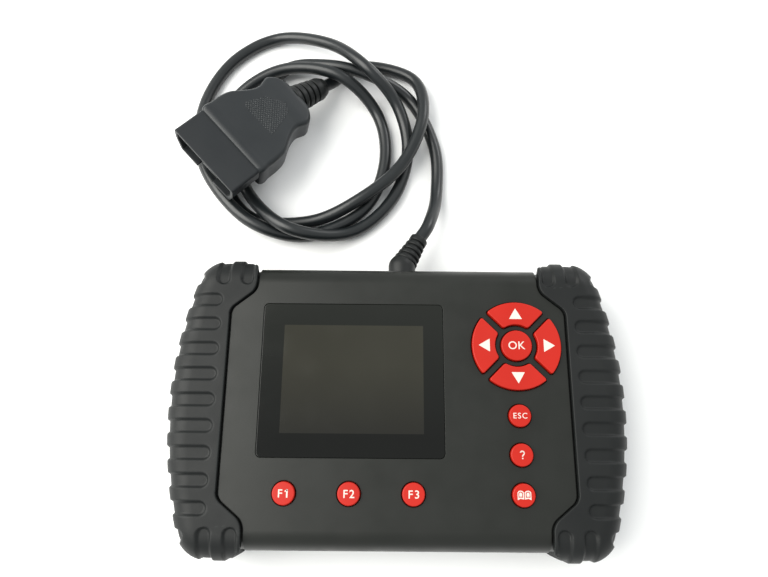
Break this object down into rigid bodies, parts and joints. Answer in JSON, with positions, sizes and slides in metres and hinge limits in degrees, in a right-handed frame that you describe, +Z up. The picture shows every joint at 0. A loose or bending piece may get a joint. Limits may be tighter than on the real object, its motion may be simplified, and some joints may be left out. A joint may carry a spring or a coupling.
{
  "type": "obd code reader",
  "caption": "Handheld vehicle diagnostic code reader: screen and keypad in a case with rubber bumpers, with a captive cable ending in a vehicle diagnostic plug.",
  "frame": {"origin": "on the table under the middle of the case, between the two bumpers", "axes": "+X along the case's width towards the arrow keys, +Y towards the cable, +Z up out of the keys"},
  "size_m": [0.1982, 0.2587, 0.0356],
  "materials": {
    "case_plastic": "fine texture, warm black",
    "bumper_rubber": "soft, satin, dark grey",
    "window_glossy": "polished, black",
    "black_foam": "thin adhesive foam",
    "display": "switched off, dark grey",
    "white_plastic": "satin white",
    "amber_film": "printed polyimide film",
    "grey_silicone": "translucent grey",
    "key_red": "satin red with printed signs",
    "circuit_board": "solder mask, green",
    "bright_steel": "plated",
    "black_chip": "moulded, black",
    "wire_red": "insulation",
    "dark_screw": "black oxide",
    "cable_rubber": "satin, black",
    "plug_plastic": "fine texture, black",
    "pin_brass": "plated"
  },
  "bodies": {
    "reader": {"front_cover": "case_plastic", "rear_cover": "case_plastic", "left_bumper": "bumper_rubber", "right_bumper": "bumper_rubber", "screen_window": "window_glossy", "window_tape": "black_foam", "lcd_panel": "display", "lcd_frame": "white_plastic", "lcd_flex": "amber_film", "keypad_mat": "grey_silicone", "main_board": "circuit_board", "snap_domes": "bright_steel", "processor_chip": "black_chip", "board_chips": "black_chip", "usb_port": "bright_steel", "harness_header": "white_plastic", "harness_plug": "white_plastic", "harness_wires": "wire_red", "board_screws": "bright_steel", "case_screws": "dark_screw", "cable_boot": "cable_rubber", "cable": "cable_rubber", "plug_body": "plug_plastic", "plug_nose": "plug_plastic", "pin_carrier": "plug_plastic", "plug_pins": "pin_brass", "plug_boot": "cable_rubber"},
    "up_key": {"up_key": "key_red"},
    "down_key": {"down_key": "key_red"},
    "left_key": {"left_key": "key_red"},
    "right_key": {"right_key": "key_red"},
    "ok_key": {"ok_key": "key_red"},
    "esc_key": {"esc_key": "key_red"},
    "help_key": {"help_key": "key_red"},
    "manual_key": {"manual_key": "key_red"},
    "f1_key": {"f1_key": "key_red"},
    "f2_key": {"f2_key": "key_red"},
    "f3_key": {"f3_key": "key_red"}
  },
  "joints": [
    {"name": "up_key_press", "type": "slide", "parent": "reader", "child": "up_key", "axis": [0, 0, -1], "range_m": [0, 0.0012], "stiffness_N_per_m": 1200, "springref_m": -0.0003},
    {"name": "down_key_press", "type": "slide", "parent": "reader", "child": "down_key", "axis": [0, 0, -1], "range_m": [0, 0.0012], "stiffness_N_per_m": 1200, "springref_m": -0.0003},
    {"name": "left_key_press", "type": "slide", "parent": "reader", "child": "left_key", "axis": [0, 0, -1], "range_m": [0, 0.0012], "stiffness_N_per_m": 1200, "springref_m": -0.0003},
    {"name": "right_key_press", "type": "slide", "parent": "reader", "child": "right_key", "axis": [0, 0, -1], "range_m": [0, 0.0012], "stiffness_N_per_m": 1200, "springref_m": -0.0003},
    {"name": "ok_key_press", "type": "slide", "parent": "reader", "child": "ok_key", "axis": [0, 0, -1], "range_m": [0, 0.0012], "stiffness_N_per_m": 1200, "springref_m": -0.0003},
    {"name": "esc_key_press", "type": "slide", "parent": "reader", "child": "esc_key", "axis": [0, 0, -1], "range_m": [0, 0.0012], "stiffness_N_per_m": 1200, "springref_m": -0.0003},
    {"name": "help_key_press", "type": "slide", "parent": "reader", "child": "help_key", "axis": [0, 0, -1], "range_m": [0, 0.0012], "stiffness_N_per_m": 1200, "springref_m": -0.0003},
    {"name": "manual_key_press", "type": "slide", "parent": "reader", "child": "manual_key", "axis": [0, 0, -1], "range_m": [0, 0.0012], "stiffness_N_per_m": 1200, "springref_m": -0.0003},
    {"name": "f1_key_press", "type": "slide", "parent": "reader", "child": "f1_key", "axis": [0, 0, -1], "range_m": [0, 0.0012], "stiffness_N_per_m": 1200, "springref_m": -0.0003},
    {"name": "f2_key_press", "type": "slide", "parent": "reader", "child": "f2_key", "axis": [0, 0, -1], "range_m": [0, 0.0012], "stiffness_N_per_m": 1200, "springref_m": -0.0003},
    {"name": "f3_key_press", "type": "slide", "parent": "reader", "child": "f3_key", "axis": [0, 0, -1], "range_m": [0, 0.0012], "stiffness_N_per_m": 1200, "springref_m": -0.0003}
  ]
}
